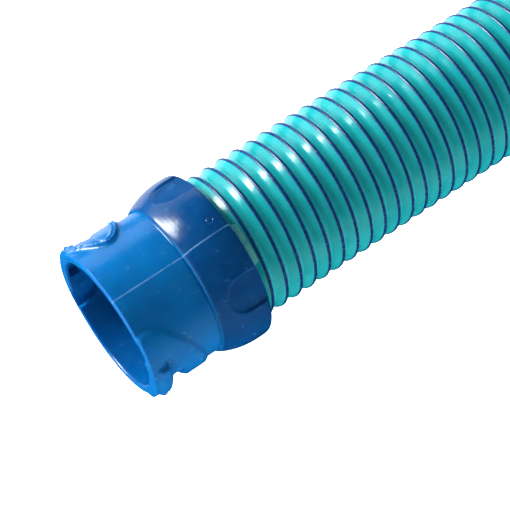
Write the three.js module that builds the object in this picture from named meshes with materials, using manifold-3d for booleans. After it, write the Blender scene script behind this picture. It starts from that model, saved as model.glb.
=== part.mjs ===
// One section of a pool cleaner's suction hose: a ribbed hose with a moulded cuff bonded on each end.
// One cuff is the socket of a bayonet joint and the other is its spigot, so that sections push into
// each other and turn to lock.
//
// Units are millimetres. +X runs along the hose from the socket's mouth to the spigot's tip, +Z is
// up, and z = 0 is the surface that the section lies on. Angles around the hose are measured from
// +Z towards -Y.
import * as THREE from 'three';
import { mergeVertices } from 'three/addons/utils/BufferGeometryUtils.js';
import Module from 'manifold-3d';

const wasm = await Module();
wasm.setup();

// ---------------------------------------------------------------------------------------------
// Driving dimensions
// ---------------------------------------------------------------------------------------------

const SECTION_LENGTH = 1000;       // socket mouth to spigot tip
const TOUCH_GAP = 0.3;             // kept between pieces that bear on each other

// Hose
const HOSE_BORE_RADIUS = 19.5;
const HOSE_WALL = 2.5;
const RIB_HEIGHT = 1.2;            // how far the coil stands proud of the hose wall
const HOSE_SIDES = 12;
const HOSE_STEPS = 20;
const HOSE_REST_CLEARANCE = 0.05;  // ribs over the surface, where the hose lies on it

// Both cuffs
const CUFF_SIDES = 32;
const BOND_THICKNESS = 0.4;
const HOSE_STOP_DEPTH = 5;         // hose stop behind the collar's front face
const COLLAR_LENGTH = 16.1;
const COLLAR_CROWN_WALL = 2.9;     // collar wall over the hose pocket at the crown
const COLLAR_BACK_WALL = 2.5;      // where the rear edge's rounding starts
const COLLAR_REAR_WALL = 1.5;      // and where it meets the rear face
const REAR_EDGE_LENGTH = 0.7;
const CROWN_START = 11.5;          // crown band, from the collar's front face
const CROWN_LENGTH = 3;
const DOME_POINTS = 4;

// Grip scallops, four to a collar
const SCALLOP_COUNT = 4;
const SCALLOP_WIDTH = 11.5;
const SCALLOP_DEPTH = 1.4;
const SCALLOP_NOSE = 4;            // nose of the scallop, from the collar's front face
const FIRST_SCALLOP_ANGLE = 56;

// Spigot
const NOSE_BORE_STEP = 1.5;        // nose bore is this much under the hose bore, on the radius
const NOSE_WALL = 2.5;
const NOSE_END_GAP = 5;            // nose tip to the next section's hose stop, locked
const NOSE_CHAMFER = 1;
const LUG_HEIGHT = 1.7;
const LUG_LENGTH = 3;
const LUG_ARC = 10;
const LUG_FROM_STOP = 12.3;        // middle of the lug from the stop face
const LUG_ANGLES = [90, 270];
const SEAL_FROM_TIP = 3.8;         // middle of the seal groove from the nose's tip
const SEAL_WIDTH = 1.8;
const SEAL_GROOVE_DEPTH = 1.2;
const SEAL_SQUEEZE = 0.1;          // seal stands this much over the socket's bore

// Socket
const SPIGOT_CLEARANCE = 0.4;      // nose to socket bore, on the radius
const SOCKET_WALL = 2.7;
const SOCKET_LENGTH = 24;          // mouth to collar
const SHOULDER_STEP = 1;           // collar's front edge over the socket's outside
const MOUTH_CHAMFER = 0.4;
const LUG_CLEARANCE = 0.5;         // lug to the floor of its track, on the radius

// Track pads on the socket, one to each lug. Their outlines are drawn in the frame of the first
// pad: millimetres from the mouth, then degrees round from the pad's datum.
const PAD_DATUMS = [24.5, 204.5];
const PAD_HEIGHT = 0.95;
const PAD_VIEW_ANGLE = 73;         // the outlines are cut square to this angle
const LIP_HEIGHT = 2.3;
const LIP_SPAN = [1.6, 5.9];       // from the mouth
const LIP_ARC = [52, 88];
const GROOVE_ARCS = [[66, 112], [66, 90]];  // behind each pad's lip
const GROOVE_SPAN = [7.2, 9.8];
const GROOVE_DEPTH = 0.9;          // under the socket's outside
const RUN_IN_ARC = [44, 66];       // shallow start of the groove
const RUN_IN_SPAN = [5.4, 8];
const RUN_IN_HEIGHT = 0.25;        // its floor over the socket's outside
const LIP_POCKET_ARC = [58, 82];   // recess in the bore, behind the lip
const LIP_POCKET_SPAN = [1, 4.4];
const LIP_POCKET_DEPTH = 2.4;        // past the socket's bore, on the radius

const PAD_OUTLINE = [
  [-1, 19], [4, 18], [8.4, 25], [12.3, 37], [16.4, 55], [19.2, 85], [17.8, 109],
  [12, 127], [9, 126], [5.3, 118], [1.3, 103], [-1, 97],
];
const TRACK_OUTLINE = [
  [-1, 24], [3, 24], [8.5, 31], [13.5, 50], [17.2, 75], [17.2, 95], [15, 110], [13.8, 121],
  [10.6, 121], [10.6, 62], [6, 44], [-1, 44],
];

// Hose route from either cuff to the middle: distance from the hose's end, then the share of the
// height between the collars' axis and the resting hose's axis that is left there.
const ROUTE = [
  [0, 1], [15, 1], [30, 1], [50, 0.97], [75, 0.88], [100, 0.72], [125, 0.5],
  [150, 0.28], [175, 0.12], [200, 0.03], [225, 0], [300, 0], [380, 0],
];

// ---------------------------------------------------------------------------------------------
// Sizes worked out from the driving dimensions
// ---------------------------------------------------------------------------------------------

const hoseWallRadius = HOSE_BORE_RADIUS + HOSE_WALL;
const ribInnerRadius = hoseWallRadius + TOUCH_GAP;
const ribOuterRadius = ribInnerRadius + RIB_HEIGHT;
const bondInnerRadius = ribOuterRadius + TOUCH_GAP;
const bondOuterRadius = bondInnerRadius + BOND_THICKNESS;
const pocketRadius = bondOuterRadius + TOUCH_GAP;
const crownRadius = pocketRadius + COLLAR_CROWN_WALL;
const collarBackRadius = pocketRadius + COLLAR_BACK_WALL;
const collarRearRadius = pocketRadius + COLLAR_REAR_WALL;
const noseBoreRadius = HOSE_BORE_RADIUS - NOSE_BORE_STEP;
const noseRadius = noseBoreRadius + NOSE_WALL;
const socketBoreRadius = noseRadius + SPIGOT_CLEARANCE;
const socketRadius = socketBoreRadius + SOCKET_WALL;
const collarFrontRadius = socketRadius + SHOULDER_STEP;
const trackRadius = noseRadius + LUG_HEIGHT + LUG_CLEARANCE;
const noseLength = SOCKET_LENGTH + HOSE_STOP_DEPTH - NOSE_END_GAP;

const halfFacet = Math.PI / CUFF_SIDES;
const collarAxisHeight = crownRadius * Math.cos(halfFacet);
const hoseAxisHeight = ribOuterRadius + HOSE_REST_CLEARANCE;

const mouthX = -SECTION_LENGTH / 2;
const tipX = SECTION_LENGTH / 2;
const socketStopX = mouthX + SOCKET_LENGTH + HOSE_STOP_DEPTH;
const spigotStopFaceX = tipX - noseLength;
const spigotHoseStopX = spigotStopFaceX - HOSE_STOP_DEPTH;
const hoseStartX = socketStopX + TOUCH_GAP;
const hoseEndX = spigotHoseStopX - TOUCH_GAP;
const socketCollarX = mouthX + SOCKET_LENGTH;
const socketRearX = socketCollarX + COLLAR_LENGTH;
const spigotRearX = spigotStopFaceX - COLLAR_LENGTH;
const sealX = tipX - SEAL_FROM_TIP;

// Cutters reach this far past what they cut, and round stretches are cut in this many steps.
const OVERRUN = 5;
const SECTOR_STEPS = 6;
const NOSE_STEPS = 8;

// ---------------------------------------------------------------------------------------------
// Helpers
// ---------------------------------------------------------------------------------------------

function toSolid(geometry) {
  const bare = geometry.clone();
  bare.deleteAttribute('normal');
  bare.deleteAttribute('uv');
  const merged = mergeVertices(bare);
  return new wasm.Manifold(new wasm.Mesh({
    numProp: 3,
    vertProperties: Float32Array.from(merged.attributes.position.array),
    triVerts: Uint32Array.from(merged.index.array),
  }));
}

function toGeometry(solid) {
  const { numProp, vertProperties, triVerts } = solid.getMesh();
  const count = vertProperties.length / numProp;
  const positions = new Float32Array(count * 3);
  for (let i = 0; i < count; i += 1) {
    positions.set(vertProperties.subarray(i * numProp, i * numProp + 3), i * 3);
  }
  const geometry = new THREE.BufferGeometry();
  geometry.setAttribute('position', new THREE.BufferAttribute(positions, 3));
  geometry.setIndex(new THREE.BufferAttribute(Uint32Array.from(triVerts), 1));
  geometry.computeVertexNormals();
  return geometry;
}

// A closed profile of [along, radius] points turned about X. The outside runs towards +X.
function turned(profile) {
  const points = profile.map(([along, radius]) => new THREE.Vector2(radius, along));
  points.push(points[0].clone());
  const lathe = new THREE.LatheGeometry(points, CUFF_SIDES, halfFacet);
  return lathe.rotateZ(-Math.PI / 2);
}

// A block between two radii and two angles, in degrees, standing along X.
function sectorBlock(start, length, innerRadius, outerRadius, fromAngle, toAngle) {
  const from = THREE.MathUtils.degToRad(fromAngle);
  const to = THREE.MathUtils.degToRad(toAngle);
  const shape = new THREE.Shape();
  shape.absarc(0, 0, outerRadius, from, to, false);
  shape.absarc(0, 0, innerRadius, to, from, true);
  shape.closePath();
  const block = new THREE.ExtrudeGeometry(shape, {
    depth: length,
    bevelEnabled: false,
    curveSegments: SECTOR_STEPS,
  });
  const basis = new THREE.Matrix4().makeBasis(
    new THREE.Vector3(0, 0, 1),
    new THREE.Vector3(0, -1, 0),
    new THREE.Vector3(1, 0, 0),
  );
  return block.applyMatrix4(basis).translate(start, 0, 0);
}

// A shape drawn as (along X, across), pushed out from the axis square to the given angle.
function radialPrism(shape, angle, fromRadius, toRadius) {
  const turn = THREE.MathUtils.degToRad(angle);
  const outwards = new THREE.Vector3(0, -Math.sin(turn), Math.cos(turn));
  const along = new THREE.Vector3(1, 0, 0);
  const across = new THREE.Vector3().crossVectors(outwards, along);
  const prism = new THREE.ExtrudeGeometry(shape, {
    depth: toRadius - fromRadius,
    bevelEnabled: false,
    curveSegments: NOSE_STEPS,
  });
  prism.applyMatrix4(new THREE.Matrix4().makeBasis(along, across, outwards));
  return prism.translate(0, outwards.y * fromRadius, outwards.z * fromRadius);
}

// An outline of [from mouth, degrees] points as a flat shape, seen square to PAD_VIEW_ANGLE.
function outlineShape(outline, radius) {
  const points = outline.map(([fromMouth, degrees]) => {
    const turn = THREE.MathUtils.degToRad(degrees - PAD_VIEW_ANGLE);
    return new THREE.Vector2(fromMouth, -radius * Math.sin(turn));
  });
  return new THREE.Shape(points);
}

// ---------------------------------------------------------------------------------------------
// Hose: the wound wall, and the outer sleeve that the raised coil fills
// ---------------------------------------------------------------------------------------------

function hosePath() {
  const drop = collarAxisHeight - hoseAxisHeight;
  const nearHalf = ROUTE.map(([distance, share]) => (
    new THREE.Vector3(hoseStartX + distance, 0, hoseAxisHeight + drop * share)
  ));
  const farHalf = ROUTE.map(([distance, share]) => (
    new THREE.Vector3(hoseEndX - distance, 0, hoseAxisHeight + drop * share)
  ));
  return new THREE.CatmullRomCurve3([...nearHalf, ...farHalf.reverse()]);
}

function hoseTube(innerRadius, outerRadius) {
  const ring = (radius) => {
    const corners = [];
    for (let i = 0; i < HOSE_SIDES; i += 1) {
      const turn = (i / HOSE_SIDES) * 2 * Math.PI;
      corners.push(new THREE.Vector2(radius * Math.cos(turn), radius * Math.sin(turn)));
    }
    return corners;
  };
  const section = new THREE.Shape(ring(outerRadius));
  section.holes.push(new THREE.Path(ring(innerRadius)));
  return new THREE.ExtrudeGeometry(section, { steps: HOSE_STEPS, extrudePath: hosePath() });
}

// ---------------------------------------------------------------------------------------------
// Grip collar, the same on both cuffs, measured from its front face towards the hose
// ---------------------------------------------------------------------------------------------

function collarOutside() {
  const points = [];
  for (let i = 0; i < DOME_POINTS; i += 1) {
    const share = i / DOME_POINTS;
    const rise = Math.sin((share * Math.PI) / 2);
    const radius = collarFrontRadius + (crownRadius - collarFrontRadius) * rise;
    points.push([CROWN_START * share, radius]);
  }
  points.push([CROWN_START, crownRadius]);
  points.push([CROWN_START + CROWN_LENGTH, crownRadius]);
  points.push([COLLAR_LENGTH - REAR_EDGE_LENGTH, collarBackRadius]);
  points.push([COLLAR_LENGTH, collarRearRadius]);
  return points;
}

// A scallop is a D: a round nose towards the collar's front and straight sides out past its rear.
function scallopCutters(frontX, towardsHose) {
  const half = SCALLOP_WIDTH / 2;
  const noseCentre = frontX + towardsHose * (SCALLOP_NOSE + half);
  const rear = frontX + towardsHose * (COLLAR_LENGTH + OVERRUN);
  const shape = new THREE.Shape();
  shape.moveTo(rear, -half);
  shape.lineTo(noseCentre, -half);
  shape.absarc(noseCentre, 0, half, -Math.PI / 2, Math.PI / 2, towardsHose > 0);
  shape.lineTo(rear, half);
  shape.closePath();
  const floorRadius = crownRadius - SCALLOP_DEPTH;
  const cutters = [];
  for (let i = 0; i < SCALLOP_COUNT; i += 1) {
    const angle = FIRST_SCALLOP_ANGLE + (i * 360) / SCALLOP_COUNT;
    cutters.push(radialPrism(shape, angle, floorRadius, crownRadius + OVERRUN));
  }
  return cutters;
}

// ---------------------------------------------------------------------------------------------
// Cuffs
// ---------------------------------------------------------------------------------------------

function socketCuff() {
  let cuff = toSolid(turned([
    [mouthX, socketRadius - MOUTH_CHAMFER],
    [mouthX + MOUTH_CHAMFER, socketRadius],
    [socketCollarX, socketRadius],
    ...collarOutside().map(([along, radius]) => [socketCollarX + along, radius]),
    [socketRearX, pocketRadius],
    [socketStopX, pocketRadius],
    [socketStopX, socketBoreRadius],
    [mouthX + MOUTH_CHAMFER, socketBoreRadius],
    [mouthX, socketBoreRadius + MOUTH_CHAMFER],
  ]));

  const padRadius = socketRadius + PAD_HEIGHT;
  const padRing = toSolid(turned([
    [mouthX, padRadius],
    [socketCollarX, padRadius],
    [socketCollarX, trackRadius],
    [mouthX, trackRadius],
  ]));
  const padShape = outlineShape(PAD_OUTLINE, padRadius);
  const trackShape = outlineShape(TRACK_OUTLINE, trackRadius);
  for (const [number, datum] of PAD_DATUMS.entries()) {
    const view = datum + PAD_VIEW_ANGLE;
    const padPrism = toSolid(radialPrism(padShape, view, 0, padRadius + OVERRUN).translate(mouthX, 0, 0));
    cuff = cuff.add(padRing.intersect(padPrism));
    cuff = cuff.add(toSolid(sectorBlock(
      mouthX + LIP_SPAN[0], LIP_SPAN[1] - LIP_SPAN[0], trackRadius, socketRadius + LIP_HEIGHT,
      datum + LIP_ARC[0], datum + LIP_ARC[1],
    )));
    const [grooveStart, grooveEnd] = GROOVE_ARCS[number];
    cuff = cuff.subtract(toSolid(sectorBlock(
      mouthX + GROOVE_SPAN[0], GROOVE_SPAN[1] - GROOVE_SPAN[0],
      socketRadius - GROOVE_DEPTH, padRadius + OVERRUN,
      datum + grooveStart, datum + grooveEnd,
    )));
    cuff = cuff.subtract(toSolid(sectorBlock(
      mouthX + RUN_IN_SPAN[0], RUN_IN_SPAN[1] - RUN_IN_SPAN[0],
      socketRadius + RUN_IN_HEIGHT, padRadius + OVERRUN,
      datum + RUN_IN_ARC[0], datum + RUN_IN_ARC[1],
    )));
    const trackPrism = toSolid(radialPrism(trackShape, view, 0, trackRadius).translate(mouthX, 0, 0));
    const trackRing = toSolid(turned([
      [mouthX - OVERRUN, trackRadius],
      [socketCollarX, trackRadius],
      [socketCollarX, socketBoreRadius - OVERRUN],
      [mouthX - OVERRUN, socketBoreRadius - OVERRUN],
    ]));
    cuff = cuff.subtract(trackRing.intersect(trackPrism));
    cuff = cuff.subtract(toSolid(sectorBlock(
      mouthX + LIP_POCKET_SPAN[0], LIP_POCKET_SPAN[1] - LIP_POCKET_SPAN[0],
      socketBoreRadius - OVERRUN, socketBoreRadius + LIP_POCKET_DEPTH,
      datum + LIP_POCKET_ARC[0], datum + LIP_POCKET_ARC[1],
    )));
  }
  for (const cutter of scallopCutters(socketCollarX, 1)) {
    cuff = cuff.subtract(toSolid(cutter));
  }
  return toGeometry(cuff);
}

function spigotCuff() {
  const halfGroove = SEAL_WIDTH / 2 + TOUCH_GAP;
  let cuff = toSolid(turned([
    ...collarOutside().reverse().map(([along, radius]) => [spigotStopFaceX - along, radius]),
    [spigotStopFaceX, noseRadius],
    [sealX - halfGroove, noseRadius],
    [sealX - halfGroove, noseRadius - SEAL_GROOVE_DEPTH],
    [sealX + halfGroove, noseRadius - SEAL_GROOVE_DEPTH],
    [sealX + halfGroove, noseRadius],
    [tipX - NOSE_CHAMFER, noseRadius],
    [tipX, noseRadius - NOSE_CHAMFER],
    [tipX, noseBoreRadius],
    [spigotHoseStopX, noseBoreRadius],
    [spigotHoseStopX, pocketRadius],
    [spigotRearX, pocketRadius],
  ]));
  for (const angle of LUG_ANGLES) {
    const lug = sectorBlock(
      spigotStopFaceX + LUG_FROM_STOP - LUG_LENGTH / 2, LUG_LENGTH,
      noseRadius - NOSE_WALL / 2, noseRadius + LUG_HEIGHT,
      angle - LUG_ARC / 2, angle + LUG_ARC / 2,
    );
    cuff = cuff.add(toSolid(lug));
  }
  for (const cutter of scallopCutters(spigotStopFaceX, -1)) {
    cuff = cuff.subtract(toSolid(cutter));
  }
  return toGeometry(cuff);
}

// The bond between hose and cuff: a thin sleeve that fills the hose pocket.
function bondRing(fromX, toX) {
  return turned([
    [fromX, bondOuterRadius],
    [toX, bondOuterRadius],
    [toX, bondInnerRadius],
    [fromX, bondInnerRadius],
  ]);
}

function sealRing() {
  const outer = socketBoreRadius + SEAL_SQUEEZE;
  const inner = noseRadius - SEAL_GROOVE_DEPTH + TOUCH_GAP;
  const shoulder = SEAL_WIDTH / 4;
  const half = SEAL_WIDTH / 2;
  return turned([
    [sealX - half, outer - shoulder],
    [sealX - half + shoulder, outer],
    [sealX + half - shoulder, outer],
    [sealX + half, outer - shoulder],
    [sealX + half, inner],
    [sealX - half, inner],
  ]);
}

// ---------------------------------------------------------------------------------------------
// Assembly
// ---------------------------------------------------------------------------------------------

function piece(name, geometry, colour, roughness) {
  const material = new THREE.MeshStandardMaterial({ color: colour, roughness, metalness: 0 });
  const mesh = new THREE.Mesh(geometry, material);
  mesh.name = name;
  return mesh;
}

const TURQUOISE = 0x10b0b6;
const NAVY = 0x0a3f7c;
const CUFF_BLUE = 0x0f62ad;
const GREY_GREEN = 0x86bfb5;
const BLACK_RUBBER = 0x1b1d20;

const section = new THREE.Group();

const hose = new THREE.Group();
hose.add(piece('hose_wall', hoseTube(HOSE_BORE_RADIUS, hoseWallRadius), TURQUOISE, 0.35));
hose.add(piece('rib_coil', hoseTube(ribInnerRadius, ribOuterRadius), NAVY, 0.3));
section.add(hose);

const cuffs = new THREE.Group();
cuffs.position.z = collarAxisHeight;
cuffs.add(piece('socket_cuff', socketCuff(), CUFF_BLUE, 0.25));
cuffs.add(piece('socket_bond_ring', bondRing(hoseStartX, socketRearX), GREY_GREEN, 0.5));
cuffs.add(piece('spigot_cuff', spigotCuff(), CUFF_BLUE, 0.25));
cuffs.add(piece('spigot_bond_ring', bondRing(spigotRearX, hoseEndX), GREY_GREEN, 0.5));
cuffs.add(piece('spigot_seal', sealRing(), BLACK_RUBBER, 0.6));
section.add(cuffs);

export default section;
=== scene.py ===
# %% [markdown]
# # One section of a suction hose
#
# A pool cleaner pulls water through sections like this one. A soft turquoise strip is wound into a
# tube, a stiffer navy bead is laid over its seam, and a blue moulded cuff is bonded to each end.
# One cuff is a socket and the other is the spigot that pushes into the next section's socket and
# turns to lock. The engineering model fixes every size and place. This lesson gives the section its
# real surfaces, one piece at a time.

import math

import bpy
import numpy as np
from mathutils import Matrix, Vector


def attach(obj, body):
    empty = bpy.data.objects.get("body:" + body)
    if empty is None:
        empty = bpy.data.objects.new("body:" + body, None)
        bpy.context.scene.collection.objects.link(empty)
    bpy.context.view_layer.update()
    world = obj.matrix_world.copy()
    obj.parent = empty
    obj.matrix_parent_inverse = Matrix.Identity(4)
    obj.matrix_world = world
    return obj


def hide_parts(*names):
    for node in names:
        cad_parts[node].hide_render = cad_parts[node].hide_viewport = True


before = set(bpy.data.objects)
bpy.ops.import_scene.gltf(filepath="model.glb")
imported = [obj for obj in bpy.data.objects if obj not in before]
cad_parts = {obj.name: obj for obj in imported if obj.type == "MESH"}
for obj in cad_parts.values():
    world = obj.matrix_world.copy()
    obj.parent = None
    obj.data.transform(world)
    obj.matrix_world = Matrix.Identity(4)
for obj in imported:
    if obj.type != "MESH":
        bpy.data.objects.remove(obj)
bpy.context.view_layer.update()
MM = 0.001
BODY = "root"
print("nodes:", sorted(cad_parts))

# %% [markdown]
# ## The camera
#
# The camera looks down on the open socket from the side and lets the hose run away to the upper
# right, out of view. A long lens keeps the tube's sides nearly parallel, so it stands a good way off
# and is aimed at a point just behind the socket's collar.

# %% Camera
SECTION_LENGTH = 1000.0
MOUTH_X = -SECTION_LENGTH / 2
TIP_X = SECTION_LENGTH / 2
CUFF_AXIS = 27.268
AIM = Vector((MOUTH_X + 48.2, -7.0, CUFF_AXIS)) * MM
AZIMUTH = math.radians(-36.735)
ELEVATION = math.radians(61.195)
CAMERA_DISTANCE = 0.546
LENS_MM = 130.6

look = Vector((
    -math.sin(AZIMUTH) * math.cos(ELEVATION),
    math.cos(AZIMUTH) * math.cos(ELEVATION),
    -math.sin(ELEVATION),
))
camera_data = bpy.data.cameras.new("camera")
camera_data.lens = LENS_MM
camera_data.sensor_width = 36.0
camera = bpy.data.objects.new("camera", camera_data)
bpy.context.scene.collection.objects.link(camera)
camera.location = AIM - look * CAMERA_DISTANCE
camera.rotation_mode = "QUATERNION"
camera.rotation_quaternion = look.to_track_quat("-Z", "Y")
bpy.context.scene.camera = camera
print("camera at", [round(c, 4) for c in camera.location])

# %% [markdown]
# ## Tools for drawing and shaping
#
# Everything on this object is turned about one long axis, so the same few moves are used again and
# again. A profile is drawn as a line of edges, one extrusion after another. It is then turned with
# the Screw modifier, and details are pushed in or out by scaling a chosen patch about the axis, with
# a soft edge from proportional editing. Pieces are shaped about the world's X axis and lifted to
# their height at the end.

# %% Selection and places
SAME_PLACE = 0.001 * MM


def choose(piece, wanted):
    """Selects the vertices that a list of yes and no marks, ready for an edit-mode operator."""
    mesh = piece.data
    mesh.polygons.foreach_set("select", np.zeros(len(mesh.polygons), bool))
    mesh.edges.foreach_set("select", np.zeros(len(mesh.edges), bool))
    mesh.vertices.foreach_set("select", np.asarray(wanted, bool))
    bpy.ops.object.mode_set(mode="EDIT")
    bpy.context.tool_settings.mesh_select_mode = (True, False, False)


def corners(piece):
    """The vertices' places as an array, in millimetres."""
    places = np.zeros(len(piece.data.vertices) * 3, np.float32)
    piece.data.vertices.foreach_get("co", places)
    return places.reshape(-1, 3).astype(float) / MM


def around(piece):
    """Each vertex's place along X, its radius, and its angle from +Z towards -Y in degrees."""
    places = corners(piece)
    radius = np.hypot(places[:, 1], places[:, 2])
    angle = np.degrees(np.arctan2(-places[:, 1], places[:, 2]))
    return places[:, 0], radius, angle


def from_datum(angle, datum):
    """Angles measured on from a datum, from -180 to 180 degrees."""
    return (angle - datum + 180.0) % 360.0 - 180.0


def report(piece):
    """Prints a piece's triangles and its box in millimetres."""
    piece.data.calc_loop_triangles()
    places = corners(piece)
    low = np.round(places.min(axis=0), 2).tolist()
    high = np.round(places.max(axis=0), 2).tolist()
    print(piece.name, len(piece.data.loop_triangles), "triangles, from", low, "to", high)


# %% Drawing and turning a profile
def draw_profile(name, points):
    """Draws a closed outline of [along, radius] points above the axis by extruding a vertex."""
    bpy.ops.object.select_all(action="DESELECT")
    bpy.ops.mesh.primitive_plane_add(size=MM)
    piece = bpy.context.object
    piece.name = name
    piece.data.name = name
    bpy.ops.object.mode_set(mode="EDIT")
    bpy.ops.mesh.select_all(action="SELECT")
    bpy.ops.mesh.merge(type="CENTER")
    here = Vector((points[0][0], 0.0, points[0][1])) * MM
    bpy.ops.transform.translate(value=here)
    for along, radius in [*points[1:], points[0]]:
        there = Vector((along, 0.0, radius)) * MM
        bpy.ops.mesh.extrude_region_move(TRANSFORM_OT_translate={"value": there - here})
        here = there
    bpy.ops.mesh.select_all(action="SELECT")
    bpy.ops.mesh.remove_doubles(threshold=SAME_PLACE)
    bpy.ops.object.mode_set(mode="OBJECT")
    return piece


def fill_in(points, spacing):
    """Adds points along a run of corners until none are further apart than spacing."""
    filled = []
    for start, end in zip(points, points[1:]):
        count = max(1, math.ceil(math.dist(start, end) / spacing))
        for step in range(count):
            share = step / count
            filled.append((
                start[0] + (end[0] - start[0]) * share,
                start[1] + (end[1] - start[1]) * share,
            ))
    return [*filled, points[-1]]


def turn_profile(piece, steps, turns=1, pitch=0.0):
    """Turns a profile about X with the Screw modifier: once round, or wound at a pitch."""
    screw = piece.modifiers.new("turning", "SCREW")
    screw.axis = "X"
    screw.angle = 2.0 * math.pi
    screw.steps = steps
    screw.render_steps = steps
    screw.iterations = turns
    screw.screw_offset = pitch * MM
    screw.use_merge_vertices = pitch == 0.0
    screw.merge_threshold = SAME_PLACE
    bpy.context.view_layer.objects.active = piece
    bpy.ops.object.modifier_apply(modifier=screw.name)
    if pitch == 0.0:
        bpy.ops.object.mode_set(mode="EDIT")
        bpy.ops.mesh.select_all(action="SELECT")
        bpy.ops.mesh.remove_doubles(threshold=SAME_PLACE)
        bpy.ops.mesh.normals_make_consistent(inside=False)
        bpy.ops.object.mode_set(mode="OBJECT")


# %% Pushing patches in and out
LEAST_SOFT = 0.1


def swell(piece, wanted, at_radius, height, soft):
    """Scales a patch about the axis, so that what is at at_radius moves out by height."""
    choose(piece, wanted)
    factor = 1.0 + height / at_radius
    bpy.ops.transform.resize(
        value=(1.0, factor, factor),
        center_override=(0.0, 0.0, 0.0),
        use_proportional_edit=soft > 0.0,
        proportional_edit_falloff="SMOOTH",
        proportional_size=max(soft, LEAST_SOFT) * MM,
    )
    bpy.ops.object.mode_set(mode="OBJECT")


def flatten(piece, wanted, angle, floor, soft):
    """Presses a patch flat, square to an angle round the axis and at a floor's distance from it."""
    choose(piece, wanted)
    turn = math.radians(angle)
    outwards = Vector((0.0, -math.sin(turn), math.cos(turn)))
    across = Vector((0.0, math.cos(turn), math.sin(turn)))
    bpy.ops.transform.resize(
        value=(1.0, 1.0, 0.0),
        orient_type="GLOBAL",
        orient_matrix=((1.0, 0.0, 0.0), tuple(across), tuple(outwards)),
        orient_matrix_type="GLOBAL",
        center_override=tuple(outwards * floor * MM),
        use_proportional_edit=True,
        proportional_edit_falloff="SMOOTH",
        proportional_size=soft * MM,
    )
    bpy.ops.object.mode_set(mode="OBJECT")


def rounded(outline, passes=3):
    """Cuts the corners of a closed outline again and again, until it runs in soft curves."""
    for _ in range(passes):
        cut = []
        for (x0, a0), (x1, a1) in zip(outline, [*outline[1:], outline[0]]):
            cut.append((x0 * 0.75 + x1 * 0.25, a0 * 0.75 + a1 * 0.25))
            cut.append((x0 * 0.25 + x1 * 0.75, a0 * 0.25 + a1 * 0.75))
        outline = cut
    return outline


def depth_inside(along, degrees, outline, radius):
    """How deep points lie inside an outline of [along, degrees] corners, in millimetres."""
    per_degree = math.radians(1.0) * radius
    px = along
    py = degrees * per_degree
    inside = np.zeros(len(px), bool)
    nearest = np.full(len(px), np.inf)
    for (x0, a0), (x1, a1) in zip(outline, [*outline[1:], outline[0]]):
        y0 = a0 * per_degree
        y1 = a1 * per_degree
        crosses = (y0 > py) != (y1 > py)
        with np.errstate(divide="ignore", invalid="ignore"):
            meets = (x1 - x0) * (py - y0) / (y1 - y0) + x0
        inside ^= crosses & (px < meets)
        run = (x1 - x0) ** 2 + (y1 - y0) ** 2
        share = np.clip(((px - x0) * (x1 - x0) + (py - y0) * (y1 - y0)) / run, 0.0, 1.0)
        gap = np.hypot(px - x0 - share * (x1 - x0), py - y0 - share * (y1 - y0))
        nearest = np.minimum(nearest, gap)
    return np.where(inside, nearest, -nearest)


def finish_piece(piece, smooth_angle, stands_for, lift=0.0):
    """Lifts a piece to its height, smooths it, hangs it on its body and hides the part it stands for.
    """
    bpy.context.view_layer.objects.active = piece
    choose(piece, np.ones(len(piece.data.vertices), bool))
    bpy.ops.transform.translate(value=(0.0, 0.0, lift * MM))
    bpy.ops.object.mode_set(mode="OBJECT")
    bpy.ops.object.select_all(action="DESELECT")
    piece.select_set(True)
    bpy.ops.object.shade_smooth_by_angle(angle=math.radians(smooth_angle))
    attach(piece, BODY)
    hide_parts(stands_for)
    report(piece)


# %% [markdown]
# ## The hose: its route
#
# The cuffs' collars are fatter than the hose, so the hose leaves each collar above the surface,
# bends down over about 200 mm and then lies on it. It is a stiff hose, so the bend is gentle. The
# shares below say how much of that drop is left at each distance from a hose end, and a smooth curve
# is passed through them.

# %% Route
HOSE_AXIS = 23.55
HOSE_END_X = 470.7
ROUTE = [
    (0, 1), (15, 1), (30, 1), (50, 0.97), (75, 0.88), (100, 0.72), (125, 0.5),
    (150, 0.28), (175, 0.12), (200, 0.03), (225, 0), (300, 0), (380, 0),
]
DROP = CUFF_AXIS - HOSE_AXIS
PATH_POINTS = 80
near_half = [-HOSE_END_X + distance for distance, _ in ROUTE]
far_half = [HOSE_END_X - distance for distance, _ in ROUTE[::-1]]
route_x = np.array(near_half + far_half)
route_z = np.array([HOSE_AXIS + DROP * share for _, share in ROUTE + ROUTE[::-1]])
route_slope = np.gradient(route_z, route_x)


def axis_height(x):
    """The hose axis's height at places along X, on a smooth curve through the route's points."""
    span = np.clip(np.searchsorted(route_x, x) - 1, 0, len(route_x) - 2)
    length = route_x[span + 1] - route_x[span]
    t = np.clip((x - route_x[span]) / length, 0.0, 1.0)
    start = (1.0 + 2.0 * t) * (1.0 - t) ** 2 * route_z[span]
    start = start + t * (1.0 - t) ** 2 * length * route_slope[span]
    end = t ** 2 * (3.0 - 2.0 * t) * route_z[span + 1]
    end = end - t ** 2 * (1.0 - t) * length * route_slope[span + 1]
    return start + end


path_x = np.linspace(-HOSE_END_X, HOSE_END_X, PATH_POINTS)
hose_path = [(x * MM, 0.0, z * MM) for x, z in zip(path_x, axis_height(path_x))]
hose_length = sum(math.dist(a, b) for a, b in zip(hose_path, hose_path[1:]))
print("hose length", round(hose_length, 4), "m")

# %% [markdown]
# ## The hose: strip and bead
#
# The real wall is a narrow turquoise strip wound edge to edge. It sags a little between its edges
# and has a fine raised line a quarter of the way across, where the extruder's die left its mark. The
# navy bead covers the seam. A ring repeated along the tube would be simpler, but the winding shows
# in the silhouette, which steps by half a pitch from one side to the other, so both are true
# helices. The profile is drawn once, wound left-handed with the Screw modifier, and cut square at
# the hose's ends.

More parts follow.
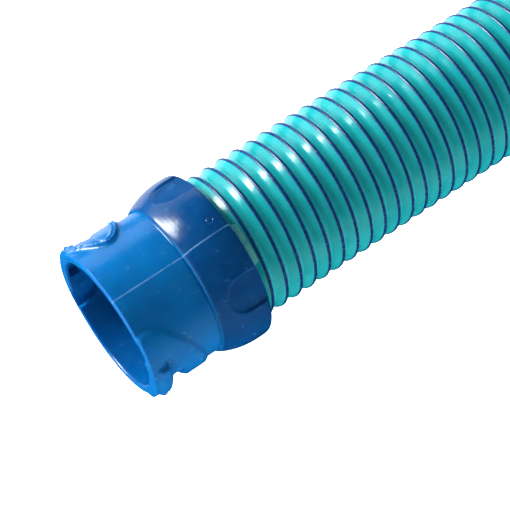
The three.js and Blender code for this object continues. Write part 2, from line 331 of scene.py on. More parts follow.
# %% Winding
PITCH = 5.225
BEAD_CREST_FROM_MOUTH = 43.65
BEAD_ANGLE = 24.5
WIND_STEPS = 48
TURNS = 183
first_crest = MOUTH_X + BEAD_CREST_FROM_MOUTH + PITCH * BEAD_ANGLE / 360.0
wind_start = first_crest + PITCH * math.ceil((HOSE_END_X + PITCH - first_crest) / PITCH)

STRIP_PROFILE = [
    (0.02, 19.5), (0.02, 22.45), (0.5, 22.60), (0.95, 22.44), (1.3, 22.50), (1.7, 22.32),
    (2.6, 22.14), (3.3, 22.38), (4.5, 23.08), (5.205, 23.30), (5.205, 19.5),
]
BEAD_PROFILE = [
    (-0.64, 22.48), (-0.60, 23.0), (-0.36, 23.39), (0.0, 23.50), (0.36, 23.39), (0.60, 23.0),
    (0.64, 22.48), (0.0, 22.28),
]


def wind(name, profile):
    """Winds a profile into a helix, cuts it square at the hose's ends and lays it on the route."""
    piece = draw_profile(name, [(wind_start + along, radius) for along, radius in profile])
    turn_profile(piece, WIND_STEPS, TURNS, -PITCH)
    copies = len(piece.data.vertices) // len(profile)
    shares = np.tile([along / PITCH for along, _ in profile], copies)
    across = piece.data.attributes.new("across", "FLOAT", "POINT")
    across.data.foreach_set("value", shares.astype(np.float32))
    bpy.ops.object.mode_set(mode="EDIT")
    for end in (-1.0, 1.0):
        bpy.ops.mesh.select_all(action="SELECT")
        bpy.ops.mesh.bisect(
            plane_co=(end * HOSE_END_X * MM, 0.0, 0.0),
            plane_no=(end, 0.0, 0.0),
            clear_outer=True,
            use_fill=True,
        )
    bpy.ops.mesh.select_all(action="SELECT")
    bpy.ops.mesh.normals_make_consistent(inside=False)
    bpy.ops.object.mode_set(mode="OBJECT")
    places = corners(piece)
    places[:, 2] += axis_height(places[:, 0])
    piece.data.vertices.foreach_set("co", (places * MM).astype(np.float32).ravel())
    piece.data.update()
    return piece


hose_strip = wind("hose_strip", STRIP_PROFILE)
finish_piece(hose_strip, 50.0, "hose_wall")
hose_bead = wind("hose_bead", BEAD_PROFILE)
finish_piece(hose_bead, 60.0, "rib_coil")

# %% [markdown]
# ## Both cuffs: the grip collar
#
# The collar swells from a step at its front to a crown, and its rear edge is rounded off where the
# hose goes in. Four D-shaped scallops give the fingers a hold. They could be cut with a boolean, but a
# cut leaves hard edges, and a moulding has soft ones, so each patch is pressed flat with a soft
# border instead.

# %% Collar and shared sizes
COLLAR_START = 24.0
COLLAR_LENGTH = 16.1
POCKET_RADIUS = 24.5
SOCKET_RADIUS = 23.6
SOCKET_BORE = 20.9
HOSE_STOP_DEPTH = 5.0
CUFF_STEPS = 540

COLLAR_PROFILE = [
    (0.05, 24.0), (0.3, 24.5), (1.1, 25.0), (2.3, 25.55), (3.5, 26.03), (4.7, 26.42),
    (5.9, 26.74), (7.1, 26.98), (8.3, 27.17), (9.5, 27.3), (10.7, 27.38), (12.0, 27.4),
    (13.2, 27.4), (14.1, 27.38), (14.8, 27.25), (15.3, 27.0), (15.7, 26.62), (15.95, 26.15),
    (16.1, 25.6), (16.1, 24.75),
]
SCALLOP_COUNT = 4
FIRST_SCALLOP = 56.0
SCALLOP_HALF = 5.75
SCALLOP_NOSE = 4.0
SCALLOP_FLOOR = 26.0
SCALLOP_EDGE = 0.35
SCALLOP_SOFT = 0.9
SCALLOP_RUN_OUT = 1.0


def press_scallops(piece, front_x, towards_hose):
    """Presses the four scallops into a collar that starts at front_x."""
    for number in range(SCALLOP_COUNT):
        angle = FIRST_SCALLOP + number * 360.0 / SCALLOP_COUNT
        x, radius, around_angle = around(piece)
        turn = np.radians(from_datum(around_angle, angle))
        outwards = radius * np.cos(turn)
        across = radius * np.sin(turn)
        behind = (x - front_x) * towards_hose
        half = SCALLOP_HALF - SCALLOP_EDGE
        nose = SCALLOP_NOSE + SCALLOP_HALF
        in_nose = np.hypot(behind - nose, across) < half
        behind_nose = (behind >= nose) & (behind < COLLAR_LENGTH + SCALLOP_RUN_OUT)
        in_tail = behind_nose & (np.abs(across) < half)
        proud = (outwards > SCALLOP_FLOOR) & (radius > POCKET_RADIUS + 0.5)
        flatten(piece, (in_nose | in_tail) & proud, angle, SCALLOP_FLOOR, SCALLOP_SOFT)


# %% [markdown]
# ## The socket cuff
#
# The socket's mouth has a rounded rim. On two opposite sides a low pad stands on the wall, over the
# track that a lug of the next spigot runs in. Each pad starts as a long taper, carries a lip at the
# mouth with a hollow behind it, and ends in a round lobe. The first pad's hollow is deep and wide,
# and the second's runs out into a shallow valley. Inside the mouth the track and a pocket behind
# the lip are sunk into the bore. All of these are patches of one turned wall.

# %% Socket outline
OUTSIDE_SPACING = 0.43
BEHIND_SPACING = 2.5
FRONT_SPACING = 0.45
RIM_RADIUS = 23.08
SOCKET_OUTLINE = (
    [(0.0, 21.4), (0.0, RIM_RADIUS), (0.12, 23.38), (0.42, SOCKET_RADIUS), (23.0, SOCKET_RADIUS)]
    + [(23.5, 23.55), (23.75, 23.32), (23.95, 23.42)]
    + [(COLLAR_START + along, radius) for along, radius in COLLAR_PROFILE]
)
SOCKET_BEHIND = [
    (COLLAR_START + COLLAR_LENGTH - 0.15, POCKET_RADIUS),
    (COLLAR_START + HOSE_STOP_DEPTH, POCKET_RADIUS),
    (COLLAR_START + HOSE_STOP_DEPTH, SOCKET_BORE),
    (19.0, SOCKET_BORE),
]
BORE_EDGE = 0.5
SOCKET_FRONT = [(18.6, SOCKET_BORE), (BORE_EDGE, SOCKET_BORE), (0.14, 21.08)]
socket_points = (
    fill_in(SOCKET_OUTLINE, OUTSIDE_SPACING)
    + fill_in(SOCKET_BEHIND, BEHIND_SPACING)
    + fill_in(SOCKET_FRONT, FRONT_SPACING)
)
socket_moulding = draw_profile(
    "socket_moulding", [(MOUTH_X + along, radius) for along, radius in socket_points]
)
turn_profile(socket_moulding, CUFF_STEPS)
report(socket_moulding)

# %% Pads, lips and hollows
PAD_DATUMS = (24.5, 204.5)
PAD_OUTLINE = [
    (-1, 19), (4, 18), (8.4, 25), (12.3, 37), (16.4, 55), (19.2, 78), (18.4, 92), (17.6, 108),
    (15.0, 122), (11.5, 128.5), (8.5, 126), (5.3, 118), (1.3, 103), (-1, 97),
]
TRACK_OUTLINE = [
    (-1, 24), (3, 24), (8.5, 31), (13.5, 50), (17.2, 75), (17.2, 95), (15, 110), (13.8, 121),
    (10.6, 121), (10.6, 62), (6, 44), (-1, 44),
]
PAD_HEIGHT = 0.95
PAD_RADIUS = SOCKET_RADIUS + PAD_HEIGHT
PAD_EDGE = 0.9
PAD_SOFT = 1.9
OUTER_SKIN = 22.9
LIP_SPAN = (2.6, 4.9)
LIP_ARCS = ((52, 87), (52, 81))
LIP_HEIGHT = 1.3
LIP_SOFT = 1.7
LIP_END_ARC = (80, 98)
LIP_END_HEIGHT = 0.45
SLANT = 0.075
SLANT_ARC = (45.0, 87.0)
RUN_IN_ARC = (46, 64)
RUN_IN_HALF = 0.35
RUN_IN_DEPTH = 0.7
HOLLOW_X = 6.3
HOLLOW_ARC = (68, 112)
HOLLOW_HALF = 1.25
HOLLOW_DEPTH = 2.0
VALLEY_X = 5.6
VALLEY_ARCS = ((64, 86), (86, 100))
VALLEY_HALF = 0.8
VALLEY_DEPTHS = (1.9, 0.8)
RINGED_ARC = (92, 130)
LOBE_START = 9.0
OUTER_RING = (0.45, 0.8)
INNER_RING = (1.6, 1.95)
RING_SOFT = 0.55
DISH_EDGE = 3.0
DISH_DEPTH = 0.3


def pad_places(piece):
    """Places from the mouth, the radius, the degrees on from the pad's datum, and which pad."""
    x, radius, angle = around(piece)
    first = from_datum(angle, PAD_DATUMS[0])
    second = from_datum(angle, PAD_DATUMS[1])
    return x - MOUTH_X, radius, np.where(first > 0.0, first, second), first > 0.0


def shape_pads(piece, turned):
    """Raises both pads and their lips, then sinks the hollows and rings the second pad's lobe."""
    along, radius, degrees, first_pad = turned
    outside = (radius > OUTER_SKIN) & (along < COLLAR_START - 1.0)
    deep = depth_inside(along, degrees, rounded(PAD_OUTLINE), SOCKET_RADIUS)
    slant = (np.minimum(degrees, SLANT_ARC[1]) - SLANT_ARC[0]) * SLANT
    from_valley = np.abs(along - VALLEY_X - slant)
    from_hollow = np.abs(along - HOLLOW_X - slant)

    def arc(ends):
        """What lies on the outside between two angles, in degrees on from the pad's datum."""
        return outside & (degrees > ends[0]) & (degrees < ends[1])

    def ring(depths):
        """What lies between two depths inside the pad's outline."""
        return (deep > depths[0]) & (deep < depths[1])

    swell(piece, outside & (deep > PAD_EDGE), SOCKET_RADIUS, PAD_HEIGHT, PAD_SOFT)
    lip = (along > LIP_SPAN[0]) & (along < LIP_SPAN[1])
    for lip_arc, its_pad in zip(LIP_ARCS, (first_pad, ~first_pad)):
        swell(piece, arc(lip_arc) & lip & its_pad, PAD_RADIUS, LIP_HEIGHT, LIP_SOFT)
    lip_end = arc(LIP_END_ARC) & (along < 3.4) & (deep > 0.6)
    swell(piece, lip_end, PAD_RADIUS, LIP_END_HEIGHT, 1.0)
    run_in = arc(RUN_IN_ARC) & (from_valley < RUN_IN_HALF)
    swell(piece, run_in, PAD_RADIUS, -RUN_IN_DEPTH, 1.6)
    hollow = arc(HOLLOW_ARC) & (from_hollow < HOLLOW_HALF) & first_pad
    swell(piece, hollow, PAD_RADIUS, -HOLLOW_DEPTH, LIP_SOFT)
    valley = (from_valley < VALLEY_HALF) & ~first_pad
    for valley_arc, depth in zip(VALLEY_ARCS, VALLEY_DEPTHS):
        swell(piece, arc(valley_arc) & valley, PAD_RADIUS, -depth, LIP_SOFT)
    ringed = arc(RINGED_ARC) & ~first_pad
    lobe = ringed & (along > LOBE_START)
    swell(piece, ringed & ring(OUTER_RING), PAD_RADIUS, 0.5, RING_SOFT)
    swell(piece, lobe & ring(INNER_RING), PAD_RADIUS, 0.45, RING_SOFT)
    swell(piece, lobe & (deep > DISH_EDGE), PAD_RADIUS, -DISH_DEPTH, 0.8)


turned = pad_places(socket_moulding)
shape_pads(socket_moulding, turned)
report(socket_moulding)

# %% Track and pocket inside the mouth
TRACK_EDGE = 0.2
TRACK_DEPTH = 1.8
LIP_POCKET_ARC = (58, 82)
LIP_POCKET_START = 1.0
LIP_POCKET_END = 4.4
LIP_POCKET_DEPTH = 2.4
NEAR = 0.01


def sink_tracks(piece, turned):
    """Sinks the lugs' tracks and the pockets behind the lips into the bore."""
    along, radius, degrees, _ = turned
    wall = (radius < SOCKET_BORE + 0.05) & (along < COLLAR_START - 4.0)
    deep = depth_inside(along, degrees, rounded(TRACK_OUTLINE, 2), SOCKET_BORE)
    swell(piece, wall & (deep > TRACK_EDGE), SOCKET_BORE, TRACK_DEPTH, 0.0)
    in_arc = (degrees > LIP_POCKET_ARC[0]) & (degrees < LIP_POCKET_ARC[1])
    in_stretch = (along > LIP_POCKET_START) & (along < LIP_POCKET_END)
    swell(piece, wall & in_arc & in_stretch, SOCKET_BORE, LIP_POCKET_DEPTH, 0.0)


def spread_rim(piece, turned):
    """Spreads the mouth's face evenly again, between the bore's edge and the outer edge."""
    along, radius, _, _ = turned
    _, now, angle = around(piece)
    column = np.round(angle * CUFF_STEPS / 360.0).astype(int) % CUFF_STEPS
    inner = np.zeros(CUFF_STEPS)
    outer = np.zeros(CUFF_STEPS)
    at_bore = (np.abs(along - BORE_EDGE) < NEAR) & (radius < SOCKET_BORE + NEAR)
    at_edge = (along < NEAR) & (np.abs(radius - RIM_RADIUS) < NEAR)
    inner[column[at_bore]] = now[at_bore]
    outer[column[at_edge]] = now[at_edge]
    face = (along < BORE_EDGE - NEAR) & (radius < RIM_RADIUS - NEAR)
    share = (radius - SOCKET_BORE) / (RIM_RADIUS - SOCKET_BORE)
    wanted = inner[column] + share * (outer[column] - inner[column])
    places = corners(piece)
    places[:, 1:] *= np.where(face, wanted / now, 1.0)[:, None]
    piece.data.vertices.foreach_set("co", (places * MM).astype(np.float32).ravel())
    piece.data.update()


sink_tracks(socket_moulding, turned)
spread_rim(socket_moulding, turned)

# %% Scallops and parting lines
PARTING_ANGLE = 13.5
PARTING_HEIGHT = 0.09
LINE_ABOVE = 23.0


def raise_parting_lines(piece, above):
    """Raises the fine line between the mould's halves, on what lies further out than above."""
    x, radius, angle = around(piece)
    line = np.minimum(
        np.abs(from_datum(angle, PARTING_ANGLE)),
        np.abs(from_datum(angle, PARTING_ANGLE + 180.0)),
    ) < 180.0 / CUFF_STEPS
    covered = (radius < POCKET_RADIUS + 0.05) & (np.abs(x) < TIP_X - COLLAR_START)
    swell(piece, (radius > above) & line & ~covered, SOCKET_RADIUS, PARTING_HEIGHT, 0.0)


press_scallops(socket_moulding, MOUTH_X + COLLAR_START, 1.0)
raise_parting_lines(socket_moulding, LINE_ABOVE)
finish_piece(socket_moulding, 34.0, "socket_cuff", CUFF_AXIS)

# %% [markdown]
# ## The spigot cuff
#
# The spigot shares its collar with the socket. In front of the flat stop face is a nose that slides
# into the next socket. It carries two lugs, a groove for the sealing ring and a chamfered tip that
# leads it in.

# %% Spigot
STOP_FACE_X = TIP_X - COLLAR_START
NOSE_SPACING = 0.5
INSIDE_SPACING = 3.0
NOSE_RADIUS = 20.5
NOSE_BORE = 18.0
SEAL_X = TIP_X - 3.8
GROOVE_HALF = 1.2
GROOVE_FLOOR = 19.3
LUG_X = STOP_FACE_X + 12.3
LUG_HALF = 1.5
LUG_HALF_ARC = 5.0
LUG_HEIGHT = 1.7
LUG_SOFT = 0.3
LUG_ANGLES = (90.0, 270.0)

SPIGOT_OUTLINE = (
    [(TIP_X, NOSE_BORE + 0.3), (TIP_X, 19.45), (TIP_X - 0.2, 19.75), (TIP_X - 1.0, NOSE_RADIUS)]
    + [(SEAL_X + GROOVE_HALF, NOSE_RADIUS), (SEAL_X + GROOVE_HALF, GROOVE_FLOOR)]
    + [(SEAL_X - GROOVE_HALF, GROOVE_FLOOR), (SEAL_X - GROOVE_HALF, NOSE_RADIUS)]
    + [(STOP_FACE_X + 0.3, NOSE_RADIUS), (STOP_FACE_X, NOSE_RADIUS + 0.3)]
    + [(STOP_FACE_X - along, radius) for along, radius in COLLAR_PROFILE]
)
SPIGOT_INSIDE = [
    (STOP_FACE_X - COLLAR_LENGTH + 0.15, POCKET_RADIUS),
    (STOP_FACE_X - HOSE_STOP_DEPTH, POCKET_RADIUS),
    (STOP_FACE_X - HOSE_STOP_DEPTH, NOSE_BORE),
    (TIP_X - 0.3, NOSE_BORE),
]
spigot_points = fill_in(SPIGOT_OUTLINE, NOSE_SPACING) + fill_in(SPIGOT_INSIDE, INSIDE_SPACING)
spigot_moulding = draw_profile("spigot_moulding", spigot_points)
turn_profile(spigot_moulding, CUFF_STEPS)
x, radius, angle = around(spigot_moulding)
on_nose = (radius > NOSE_RADIUS - 0.1) & (np.abs(x - LUG_X) < LUG_HALF)
from_lugs = [np.abs(from_datum(angle, lug_angle)) for lug_angle in LUG_ANGLES]
at_lug = np.minimum(*from_lugs) < LUG_HALF_ARC
swell(spigot_moulding, on_nose & at_lug, NOSE_RADIUS, LUG_HEIGHT, LUG_SOFT)
press_scallops(spigot_moulding, STOP_FACE_X, -1.0)
raise_parting_lines(spigot_moulding, NOSE_RADIUS - 0.1)
finish_piece(spigot_moulding, 34.0, "spigot_cuff", CUFF_AXIS)

# %% [markdown]
# ## The bonds and the sealing ring
#
# The hose is glued into the pocket of each collar. The compound fills the pocket and shows as a
# thin pale ring at the collar's rear. On the socket it has been squeezed out along one stretch and
# lies on the first turn of the strip. The sealing ring is a plain rubber ring with rounded corners,
# stretched into its groove.

# %% Bonds
BOND_OUTER = 24.46
BOND_INNER = 22.64
BOND_REAR = 460.05
BOND_FRONT = 470.6
SMEAR_ARC = (14.0, 45.0)
SMEAR_LENGTH = 2.6
SMEAR_RADIUS = 22.85
SMEAR_FROM_RADIUS = 24.0
SMEAR_SOFT = 1.0
BOND_SPACING = 0.7


def make_bond(name, side, stands_for, smear):
    """Makes the ring of compound in one collar, on the side -1 or 1 of the section."""
    outline = [
        (BOND_FRONT, BOND_INNER), (BOND_FRONT, BOND_OUTER), (BOND_REAR, BOND_OUTER),
        (BOND_REAR - 0.15, 23.9), (BOND_REAR - 0.1, 23.3), (BOND_REAR + 0.05, BOND_INNER),
    ]
    sided = [(side * along, radius) for along, radius in outline]
    bond = draw_profile(name, fill_in(sided, BOND_SPACING))
    turn_profile(bond, CUFF_STEPS)
    if smear:
        x, radius, angle = around(bond)
        edge = (np.abs(x) < BOND_REAR + 0.06) & (angle > SMEAR_ARC[0]) & (angle < SMEAR_ARC[1])
        drop = SMEAR_RADIUS - SMEAR_FROM_RADIUS
        swell(bond, edge & (radius > 23.0), SMEAR_FROM_RADIUS, drop, 0.4)
        choose(bond, edge)
        bpy.ops.transform.translate(
            value=(-side * SMEAR_LENGTH * MM, 0.0, 0.0),
            use_proportional_edit=True,
            proportional_edit_falloff="SMOOTH",
            proportional_size=SMEAR_SOFT * MM,
        )
        bpy.ops.object.mode_set(mode="OBJECT")
    finish_piece(bond, 40.0, stands_for, CUFF_AXIS)
    return bond


socket_bond = make_bond("socket_bond", -1.0, "socket_bond_ring", True)
spigot_bond = make_bond("spigot_bond", 1.0, "spigot_bond_ring", False)

# %% Sealing ring
SEAL_OUTLINE = [
    (-0.9, 19.75), (-0.9, 20.45), (-0.72, 20.8), (-0.4, 20.97), (0.0, 21.0), (0.4, 20.97),
    (0.72, 20.8), (0.9, 20.45), (0.9, 19.75), (0.75, 19.6), (-0.75, 19.6),
]
seal_ring = draw_profile(
    "seal_ring", [(SEAL_X + along, radius) for along, radius in SEAL_OUTLINE]
)
turn_profile(seal_ring, CUFF_STEPS)
finish_piece(seal_ring, 40.0, "spigot_seal", CUFF_AXIS)

# %% [markdown]
# ## Finishes: writing shader maths as formulas
#
# A material is a tree of nodes. Wiring each sum by hand hides the idea, so a small class wraps one
# output socket and lets it be added and multiplied as in a formula. Every other node comes from one
# method.


# %% Shader maths
class Wire:
    """One output socket, which adds Math nodes when it is used in a formula."""

    def __init__(self, finish, socket):
        self.finish = finish
        self.socket = socket

    def math(self, operation, first, second=0.0):
        return self.finish.node("ShaderNodeMath", {"operation": operation}, {0: first, 1: second})

    def __add__(self, other):
        return self.math("ADD", self, other)

    def __radd__(self, other):
        return self.math("ADD", other, self)

    def __sub__(self, other):
        return self.math("SUBTRACT", self, other)

    def __rsub__(self, other):
        return self.math("SUBTRACT", other, self)

    def __mul__(self, other):
        return self.math("MULTIPLY", self, other)

    def __rmul__(self, other):
        return self.math("MULTIPLY", other, self)

    def __abs__(self):
        return self.math("ABSOLUTE", self)

    def between(self, low, high):
        """Runs smoothly from 0 at low to 1 at high."""
        return self.finish.node(
            "ShaderNodeMapRange",
            {"interpolation_type": "SMOOTHSTEP"},
            {"Value": self, "From Min": low, "From Max": high},
        )


class Finish:
    """One material and its tree of nodes."""

    def __init__(self, name):
        self.material = bpy.data.materials.new(name)
        self.material.use_nodes = True
        self.tree = self.material.node_tree
        self.tree.nodes.clear()

    def node(self, kind, settings, inputs, output=0):
        """Adds a node: its settings first, then the values or wires of its sockets."""
        made = self.tree.nodes.new(kind)
        for name, value in settings.items():
            setattr(made, name, value)
        for name, value in inputs.items():
            if isinstance(value, Wire):
                self.tree.links.new(value.socket, made.inputs[name])
            else:
                made.inputs[name].default_value = value
        return Wire(self, made.outputs[output]) if made.outputs else made

    def place(self):
        """The Object coordinates, as one vector wire."""
        return self.node("ShaderNodeTexCoord", {}, {}, "Object")

    def axes(self):
        """The Object coordinates as three wires."""
        place = self.place()
        return [
            self.node("ShaderNodeSeparateXYZ", {}, {"Vector": place}, axis) for axis in ("X", "Y", "Z")
        ]

    def noise(self, scale, detail=2.0, roughness=0.5):
        """Soft random patches, about 1 / scale metres across."""
        return self.node(
            "ShaderNodeTexNoise",
            {},
            {"Vector": self.place(), "Scale": scale, "Detail": detail, "Roughness": roughness},
        )

    def blend(self, factor, first, second):
        """Mixes two colours."""
        return self.node(
            "ShaderNodeMix", {"data_type": "RGBA"}, {0: factor, 6: first, 7: second}, 2
        )

    def bump(self, height, distance, strength=1.0):
        """Turns a height into a tilt of the surface."""
        return self.node(
            "ShaderNodeBump", {}, {"Height": height, "Distance": distance, "Strength": strength}
        )

    def surface(self, **sockets):
        """Ends the tree in a plastic or rubber surface."""
        names = {name.replace("_", " "): value for name, value in sockets.items()}
        shader = self.node("ShaderNodeBsdfPrincipled", {}, names)
        self.node("ShaderNodeOutputMaterial", {}, {"Surface": shader})
        return self.material

    def put_on(self, *pieces):
        """Gives the material to pieces."""
        for piece in pieces:
            piece.data.materials.clear()
            piece.data.materials.append(self.material)
        print(self.material.name, "on", [piece.name for piece in pieces])


def colour(red, green, blue):
    """A linear colour with full alpha."""
    return (red, green, blue, 1.0)


# %% [markdown]
# ## Blue moulding
#
# The cuffs are a glossy, slightly translucent blue plastic. The light that goes in comes out a
# little further on, so thin rims glow. On top of that the colour carries painted light: the
# socket's thin wall and the spigot's nose get a brighter blue as a painted glow, the collar over
# the hose a deeper blue as painted shade, and the bore a painted shade that darkens it again. The
# skin is faintly blotchy where the melt flowed, a pale line runs along it where the mould's halves
# met, and a small ring on each collar shows where the melt went in.

# %% Blue moulding
DEPTH_EDGE = 0.4
BORE_FADE = (20.9, 21.6)
SKIN_FADE = (22.2, 23.0)
CROWN_RADIUS = 27.4
GATE_FROM_END = 35.5
GATE_ANGLE = math.radians(4.6)

blue = Finish("blue_moulding")
x, y, z = blue.axes()
flow = blue.noise(95.0, 3.0, 0.55)
cloud = blue.noise(260.0, 4.0, 0.6)
grain = blue.noise(1500.0, 2.0, 0.5)
# Painted light: the thin wall gets a brighter blue as a painted glow of light through it, and the
# collar a darker copy as painted shade from the hose behind it. at_front switches between them at the
# collar's front.
thin_wall_painted_glow = blue.blend(flow.between(0.3, 0.7), colour(0.0, 0.105, 0.315), colour(0.0, 0.130, 0.375))
collar_painted_shade = blue.blend(flow.between(0.3, 0.7), colour(0.0, 0.042, 0.150), colour(0.0, 0.053, 0.185))
from_middle = abs(x)
up = z - CUFF_AXIS * MM
off_axis = y * y + up * up
collar_front = TIP_X - COLLAR_START
at_front = from_middle.between((collar_front - DEPTH_EDGE) * MM, collar_front * MM)
skin = blue.blend(at_front, collar_painted_shade, thin_wall_painted_glow)
# Painted shade: inside the bore, within about 21.6 mm of the axis, the blue is blended 60% towards a
# dark navy.
inside = 1.0 - off_axis.between((BORE_FADE[0] * MM) ** 2, (BORE_FADE[1] * MM) ** 2)
skin = blue.blend(inside * 0.6, skin, colour(0.0, 0.035, 0.16))
skin = blue.blend(cloud.between(0.5, 0.8) * 0.2, skin, colour(0.002, 0.16, 0.42))
parting = math.radians(PARTING_ANGLE)
off_line = abs(y * -math.cos(parting) - up * math.sin(parting))
on_outside = off_axis.between((SKIN_FADE[0] * MM) ** 2, (SKIN_FADE[1] * MM) ** 2)
line = (1.0 - off_line.between(0.00010, 0.00032)) * on_outside
worn = line * (cloud.between(0.3, 0.6) * 0.6 + 0.4)
skin = blue.blend(worn * 0.6, skin, colour(0.16, 0.34, 0.66))
gate_y = -CROWN_RADIUS * math.sin(GATE_ANGLE)
gate_z = CUFF_AXIS + CROWN_RADIUS * math.cos(GATE_ANGLE)
ring = 0.0
for gate_x in (MOUTH_X + GATE_FROM_END, TIP_X - GATE_FROM_END):
    middle = (gate_x * MM, gate_y * MM, gate_z * MM)
    reach = blue.node(
        "ShaderNodeVectorMath", {"operation": "DISTANCE"}, {0: blue.place(), 1: middle}, "Value"
    )
    ring = ring + reach.between(0.0006, 0.0009) * (1.0 - reach.between(0.0010, 0.0013))
height = grain * 0.01 + cloud * 0.06 + flow * 0.5 - ring * 0.4
blue.surface(
    Base_Color=skin,
    Roughness=cloud.between(0.2, 0.8) * 0.12 + 0.17,
    Normal=blue.bump(height, 0.00025),
    IOR=1.46,
    Subsurface_Weight=0.3,
    Subsurface_Radius=(0.02, 0.3, 1.0),
    Subsurface_Scale=0.004,
)
blue.put_on(socket_moulding, spigot_moulding)

# %% [markdown]
# ## Turquoise strip
#
# The strip is softer and a little milky. It is paler along its raised line, partly from wear and
# partly as a painted reflection, and just past the bead a painted sheen makes it paler and bluer.
# So its finish follows the share across the strip, which was stored on the mesh before the strip
# was wound.

# %% Turquoise strip
turquoise = Finish("turquoise_strip")
across = turquoise.node("ShaderNodeAttribute", {"attribute_name": "across"}, {}, "Fac")
milk = turquoise.noise(120.0, 3.0, 0.55)
streak = turquoise.noise(900.0, 2.0, 0.5)
# Painted reflection: just past the bead the strip is made paler and bluer, as a sheen of the sky.
painted_sheen_near_start = 1.0 - across.between(0.10, 0.42)
# Paler along the raised line: partly wear, broken up by the streak noise, and partly a painted
# reflection of the light off the line.
raised_line = across.between(0.20, 0.25) * (1.0 - across.between(0.26, 0.33))
worn_and_sheen_line = raised_line * streak.between(0.3, 0.7) * 0.35
strip_colour = turquoise.blend(
    milk.between(0.3, 0.7), colour(0.006, 0.29, 0.31), colour(0.010, 0.34, 0.355)
)
strip_colour = turquoise.blend(painted_sheen_near_start * 0.5, strip_colour, colour(0.008, 0.41, 0.50))
strip_colour = turquoise.blend(worn_and_sheen_line, strip_colour, colour(0.12, 0.55, 0.58))
turquoise.surface(
    Base_Color=strip_colour,
    Roughness=milk.between(0.25, 0.75) * 0.08 + 0.15,
    Normal=turquoise.bump(streak * 0.15 + milk * 0.5, 0.00015),
    IOR=1.5,
    Subsurface_Weight=0.15,
    Subsurface_Radius=(0.05, 0.6, 0.7),
    Subsurface_Scale=0.002,
)
turquoise.put_on(hose_strip)

# %% [markdown]
# ## Navy bead, compound and rubber
#
# The bead is the hardest part of the hose and the one that rubs, so it is glossy with a slightly
# scuffed crest. The compound is matt and uneven. The rubber is nearly black with a soft bloom.

# %% Navy bead
navy = Finish("navy_bead")
shade = navy.noise(140.0, 3.0, 0.6)
scuff = navy.noise(1100.0, 3.0, 0.6)
bead_colour = navy.blend(
    shade.between(0.3, 0.7), colour(0.001, 0.024, 0.115), colour(0.002, 0.036, 0.15)
)
bead_colour = navy.blend(scuff.between(0.6, 0.85) * 0.3, bead_colour, colour(0.03, 0.12, 0.3))
navy.surface(
    Base_Color=bead_colour,
    Roughness=scuff.between(0.3, 0.8) * 0.15 + 0.2,
    Normal=navy.bump(scuff * 0.2 + shade * 0.3, 0.0001),
    IOR=1.5,
)
navy.put_on(hose_bead)

# %% Compound and rubber
pale = Finish("pale_compound")
lump = pale.noise(420.0, 3.0, 0.6)
dust = pale.noise(2200.0, 2.0, 0.5)
pale_colour = pale.blend(
    lump.between(0.3, 0.7), colour(0.03, 0.32, 0.33), colour(0.08, 0.37, 0.36)
)
pale.surface(
    Base_Color=pale_colour,
    Roughness=dust.between(0.2, 0.8) * 0.2 + 0.4,
    Normal=pale.bump(lump + dust * 0.15, 0.0003),
    Subsurface_Weight=0.1,
    Subsurface_Radius=(0.3, 0.6, 0.6),
    Subsurface_Scale=0.001,
)
pale.put_on(socket_bond, spigot_bond)

rubber = Finish("black_rubber")
bloom = rubber.noise(600.0, 4.0, 0.6)
pit = rubber.noise(3000.0, 2.0, 0.5)
rubber_colour = rubber.blend(
    bloom.between(0.35, 0.75), colour(0.010, 0.011, 0.012), colour(0.028, 0.030, 0.033)
)
rubber.surface(
    Base_Color=rubber_colour,
    Roughness=bloom.between(0.2, 0.8) * 0.2 + 0.42,
    Normal=rubber.bump(pit * 0.4 + bloom, 0.00008),
)
rubber.put_on(seal_ring)

# %% [markdown]
# ## Floor and light
#
# The section lies on a plain white floor. A tall, narrow softbox stands beyond the hose, on the
# mouth's side. It draws one bright mark on every turn of the strip, where the strip climbs to the
# bead, and a strong one on the collar's front edge. A wide, low one gives the upper side its sheen.
# A pale surround fills the rest. It and the floor light the pieces but are kept out of their
# reflections, so that the plastics keep their deep colours. Two dim cards, one before the mouth and
# one low on the far side, are seen in reflections only. They draw the pale rim and upper edges.

# %% Floor
FLOOR_SIZE = 8.0
FLOOR_DROP = 0.3
FLOOR_GLOW = 2.3

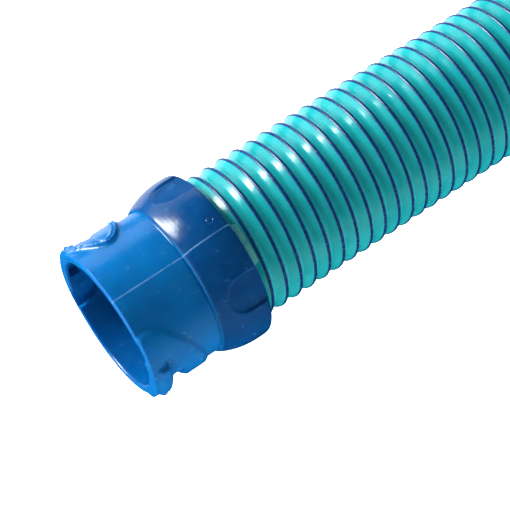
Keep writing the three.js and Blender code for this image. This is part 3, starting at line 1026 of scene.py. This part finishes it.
bpy.ops.object.select_all(action="DESELECT")
bpy.ops.mesh.primitive_plane_add(size=FLOOR_SIZE, location=(0.0, 0.0, -FLOOR_DROP * MM))
floor = bpy.context.object
floor.name = "floor"
white = Finish("white_floor")
paper = white.noise(3.0, 2.0, 0.5)
paper_colour = white.blend(
    paper.between(0.3, 0.7), colour(0.90, 0.90, 0.91), colour(0.93, 0.93, 0.94)
)
white.surface(
    Base_Color=paper_colour,
    Roughness=0.9,
    Emission_Color=colour(1.0, 1.0, 1.0),
    Emission_Strength=FLOOR_GLOW,
)
white.put_on(floor)
floor.visible_glossy = False
floor.visible_shadow = False

# %% Lights
SUBJECT = Vector((MOUTH_X + 60.0, 0.0, CUFF_AXIS)) * MM
SURROUND_STRENGTH = 0.38


def add_softbox(name, direction, distance, size, watts, tint=(1.0, 1.0, 1.0)):
    """Adds an area light, size wide and high, in a direction from the subject that it faces."""
    data = bpy.data.lights.new(name, "AREA")
    data.shape = "RECTANGLE"
    data.size, data.size_y = size
    data.energy = watts
    data.color = tint
    box = bpy.data.objects.new(name, data)
    bpy.context.scene.collection.objects.link(box)
    towards = Vector(direction).normalized()
    box.location = SUBJECT + towards * distance
    box.rotation_mode = "QUATERNION"
    box.rotation_quaternion = towards.to_track_quat("Z", "Y")
    return box


add_softbox("key_softbox", (-0.53, 0.67, 0.52), 1.2, (0.42, 0.78), 31.0)
add_softbox("side_softbox", (0.05, 1.0, 0.30), 1.6, (2.6, 0.9), 9.0, (0.90, 0.93, 1.0))
far_sheen = add_softbox(
    "far_sheen", (0.29, 0.72, -0.60), 1.5, (1.6, 1.0), 6.0, (0.88, 0.90, 1.0)
)
front_sheen = add_softbox(
    "front_sheen", (-1.0, 0.05, 0.15), 1.5, (1.4, 1.4), 12.0, (0.90, 0.92, 1.0)
)
for sheen in (far_sheen, front_sheen):
    sheen.visible_diffuse = False
    sheen.visible_transmission = False

world = bpy.data.worlds.new("surround")
bpy.context.scene.world = world
world.use_nodes = True
world.cycles_visibility.glossy = False
surround = world.node_tree.nodes["Background"]
surround.inputs["Color"].default_value = colour(0.95, 0.97, 1.0)
surround.inputs["Strength"].default_value = SURROUND_STRENGTH
bpy.context.scene.view_settings.view_transform = "Standard"
